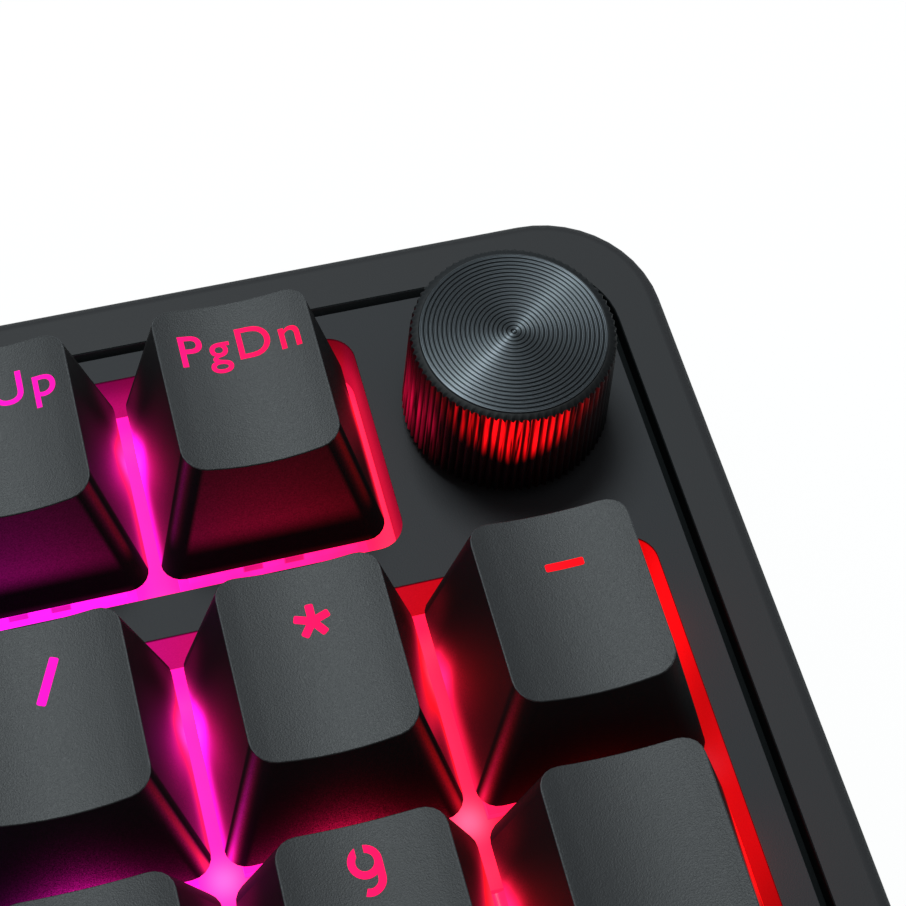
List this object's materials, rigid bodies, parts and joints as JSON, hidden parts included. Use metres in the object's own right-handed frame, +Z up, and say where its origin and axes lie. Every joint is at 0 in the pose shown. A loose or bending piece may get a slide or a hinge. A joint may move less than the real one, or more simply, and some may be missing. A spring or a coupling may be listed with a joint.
{
  "type": "keyboard",
  "caption": "Full-size keyboard with magnetic switches, sunken lit wells, number pad, ribbed volume knob and fold-out tilt feet.",
  "frame": {"origin": "middle of the keyboard, at the level the rubber feet stand on", "axes": "+X to the right along the key rows, +Y to the back where the socket is, +Z up"},
  "size_m": [0.3798, 0.1372, 0.0303],
  "materials": {
    "case": "fine matte texture",
    "foam": "matte",
    "board": "fine matte texture",
    "plate": "white powder coat",
    "frame": "fine matte texture",
    "deck": "fine matte texture",
    "housing": "fine matte texture",
    "clear_housing": "smooth, translucent look",
    "spring_steel": "plain steel",
    "led": "smooth, translucent look",
    "chip": "fine matte texture",
    "socket_shell": "plain steel",
    "standoff": "plain turned brass",
    "screw": "plain steel",
    "pad": "matte",
    "encoder_shell": "plain steel",
    "rotor": "fine matte texture",
    "shaft": "turned, dark",
    "knob": "fine matte texture",
    "knob_disc": "turned, dark",
    "tilt_foot": "fine matte texture",
    "wire": "plain steel",
    "keycap": "fine matte texture",
    "stem": "fine matte texture"
  },
  "bodies": {
    "case": {"bottom_case": "case", "case_foam": "foam", "circuit_board": "board", "plate_foam": "foam", "switch_plate": "plate", "top_frame": "frame", "deck_cover": "deck", "switch_bottoms": "housing", "switch_tops": "clear_housing", "switch_springs": "spring_steel", "switch_leds": "led", "hall_sensors": "chip", "controller_chips": "chip", "usb_socket": "socket_shell", "stabiliser_housings": "housing", "plate_standoffs": "standoff", "case_screws": "screw", "rubber_feet": "pad", "encoder_body": "encoder_shell"},
    "encoder_rotor": {"encoder_rotor": "rotor"},
    "knob": {"encoder_shaft": "shaft", "volume_knob": "knob", "knob_top_disc": "knob_disc"},
    "left_foot": {"left_tilt_foot": "tilt_foot"},
    "right_foot": {"right_tilt_foot": "tilt_foot"},
    "backspace_wire": {"backspace_wire": "wire"},
    "enter_wire": {"enter_wire": "wire"},
    "space_bar_wire": {"space_bar_wire": "wire"},
    "numpad_plus_wire": {"numpad_plus_wire": "wire"},
    "numpad_enter_wire": {"numpad_enter_wire": "wire"},
    "function_row_keys": {"function_row_caps": "keycap", "function_row_stems": "stem"},
    "number_row_keys": {"number_row_caps": "keycap", "number_row_stems": "stem"},
    "upper_letter_keys": {"upper_letter_caps": "keycap", "upper_letter_stems": "stem"},
    "home_row_keys": {"home_row_caps": "keycap", "home_row_stems": "stem"},
    "lower_letter_keys": {"lower_letter_caps": "keycap", "lower_letter_stems": "stem"},
    "bottom_row_keys": {"bottom_row_caps": "keycap", "bottom_row_stems": "stem"},
    "numpad_keys": {"numpad_caps": "keycap", "numpad_stems": "stem"},
    "page_up_key": {"page_up_cap": "keycap", "page_up_stem": "stem"},
    "page_down_key": {"page_down_cap": "keycap", "page_down_stem": "stem"},
    "numpad_divide_key": {"numpad_divide_cap": "keycap", "numpad_divide_stem": "stem"},
    "numpad_multiply_key": {"numpad_multiply_cap": "keycap", "numpad_multiply_stem": "stem"},
    "numpad_minus_key": {"numpad_minus_cap": "keycap", "numpad_minus_stem": "stem"},
    "numpad_8_key": {"numpad_8_cap": "keycap", "numpad_8_stem": "stem"},
    "numpad_9_key": {"numpad_9_cap": "keycap", "numpad_9_stem": "stem"},
    "numpad_plus_key": {"numpad_plus_cap": "keycap", "numpad_plus_stem": "stem"}
  },
  "joints": [
    {"name": "volume_turn", "type": "hinge", "parent": "case", "child": "encoder_rotor", "pos_m": [0.1736, 0.0505, 0], "axis": [0, 0, 1], "continuous": true},
    {"name": "volume_press", "type": "slide", "parent": "encoder_rotor", "child": "knob", "axis": [0, 0, -1], "range_m": [0, 0.0005], "stiffness_N_per_m": 2000, "springref_m": -0.001},
    {"name": "left_foot_fold", "type": "hinge", "parent": "case", "child": "left_foot", "pos_m": [-0.14054, 0.05257, 0.0031], "axis": [1, 0, 0], "range_deg": [0, 95]},
    {"name": "right_foot_fold", "type": "hinge", "parent": "case", "child": "right_foot", "pos_m": [0.14054, 0.05257, 0.0031], "axis": [1, 0, 0], "range_deg": [0, 95]},
    {"name": "function_row_press", "type": "slide", "parent": "case", "child": "function_row_keys", "axis": [0, 0, -1], "range_m": [0, 0.004], "stiffness_N_per_m": 1125, "springref_m": -0.004, "deforming": ["switch_springs"]},
    {"name": "number_row_press", "type": "slide", "parent": "case", "child": "number_row_keys", "axis": [0, 0, -1], "range_m": [0, 0.004], "stiffness_N_per_m": 1125, "springref_m": -0.004, "deforming": ["switch_springs"]},
    {"name": "upper_letter_press", "type": "slide", "parent": "case", "child": "upper_letter_keys", "axis": [0, 0, -1], "range_m": [0, 0.004], "stiffness_N_per_m": 975, "springref_m": -0.004, "deforming": ["switch_springs"]},
    {"name": "home_row_press", "type": "slide", "parent": "case", "child": "home_row_keys", "axis": [0, 0, -1], "range_m": [0, 0.004], "stiffness_N_per_m": 1050, "springref_m": -0.004, "deforming": ["switch_springs"]},
    {"name": "lower_letter_press", "type": "slide", "parent": "case", "child": "lower_letter_keys", "axis": [0, 0, -1], "range_m": [0, 0.004], "stiffness_N_per_m": 1050, "springref_m": -0.004, "deforming": ["switch_springs"]},
    {"name": "bottom_row_press", "type": "slide", "parent": "case", "child": "bottom_row_keys", "axis": [0, 0, -1], "range_m": [0, 0.004], "stiffness_N_per_m": 750, "springref_m": -0.004, "deforming": ["switch_springs"]},
    {"name": "numpad_press", "type": "slide", "parent": "case", "child": "numpad_keys", "axis": [0, 0, -1], "range_m": [0, 0.004], "stiffness_N_per_m": 750, "springref_m": -0.004, "deforming": ["switch_springs"]},
    {"name": "page_up_press", "type": "slide", "parent": "case", "child": "page_up_key", "axis": [0, 0, -1], "range_m": [0, 0.004], "stiffness_N_per_m": 75, "springref_m": -0.004, "deforming": ["switch_springs"]},
    {"name": "page_down_press", "type": "slide", "parent": "case", "child": "page_down_key", "axis": [0, 0, -1], "range_m": [0, 0.004], "stiffness_N_per_m": 75, "springref_m": -0.004, "deforming": ["switch_springs"]},
    {"name": "numpad_divide_press", "type": "slide", "parent": "case", "child": "numpad_divide_key", "axis": [0, 0, -1], "range_m": [0, 0.004], "stiffness_N_per_m": 75, "springref_m": -0.004, "deforming": ["switch_springs"]},
    {"name": "numpad_multiply_press", "type": "slide", "parent": "case", "child": "numpad_multiply_key", "axis": [0, 0, -1], "range_m": [0, 0.004], "stiffness_N_per_m": 75, "springref_m": -0.004, "deforming": ["switch_springs"]},
    {"name": "numpad_minus_press", "type": "slide", "parent": "case", "child": "numpad_minus_key", "axis": [0, 0, -1], "range_m": [0, 0.004], "stiffness_N_per_m": 75, "springref_m": -0.004, "deforming": ["switch_springs"]},
    {"name": "numpad_8_press", "type": "slide", "parent": "case", "child": "numpad_8_key", "axis": [0, 0, -1], "range_m": [0, 0.004], "stiffness_N_per_m": 75, "springref_m": -0.004, "deforming": ["switch_springs"]},
    {"name": "numpad_9_press", "type": "slide", "parent": "case", "child": "numpad_9_key", "axis": [0, 0, -1], "range_m": [0, 0.004], "stiffness_N_per_m": 75, "springref_m": -0.004, "deforming": ["switch_springs"]},
    {"name": "numpad_plus_press", "type": "slide", "parent": "case", "child": "numpad_plus_key", "axis": [0, 0, -1], "range_m": [0, 0.004], "stiffness_N_per_m": 75, "springref_m": -0.004, "deforming": ["switch_springs"]},
    {"name": "backspace_wire_swing", "type": "hinge", "parent": "case", "child": "backspace_wire", "pos_m": [0.08572, 0.035, 0.014], "axis": [1, 0, 0], "range_deg": [0, 33.21]},
    {"name": "enter_wire_swing", "type": "hinge", "parent": "case", "child": "enter_wire", "pos_m": [0.08397, -0.00248, 0.014], "axis": [0, 1, 0], "range_deg": [0, 33.21]},
    {"name": "space_bar_wire_swing", "type": "hinge", "parent": "case", "child": "space_bar_wire", "pos_m": [-0.05001, -0.0412, 0.014], "axis": [1, 0, 0], "range_deg": [0, 33.21]},
    {"name": "numpad_plus_wire_swing", "type": "hinge", "parent": "case", "child": "numpad_plus_wire", "pos_m": [0.16255, -0.00248, 0.014], "axis": [0, 1, 0], "range_deg": [0, 33.21]},
    {"name": "numpad_enter_wire_swing", "type": "hinge", "parent": "case", "child": "numpad_enter_wire", "pos_m": [0.16255, -0.04057, 0.014], "axis": [0, 1, 0], "range_deg": [0, 33.21]}
  ],
  "couplings": [
    {"joint": "backspace_wire_swing", "follows": "number_row_press", "rad_per_m": 144.85},
    {"joint": "enter_wire_swing", "follows": "home_row_press", "rad_per_m": 144.85},
    {"joint": "space_bar_wire_swing", "follows": "bottom_row_press", "rad_per_m": 144.85},
    {"joint": "numpad_plus_wire_swing", "follows": "numpad_plus_press", "rad_per_m": 144.85},
    {"joint": "numpad_enter_wire_swing", "follows": "numpad_press", "rad_per_m": 144.85}
  ]
}
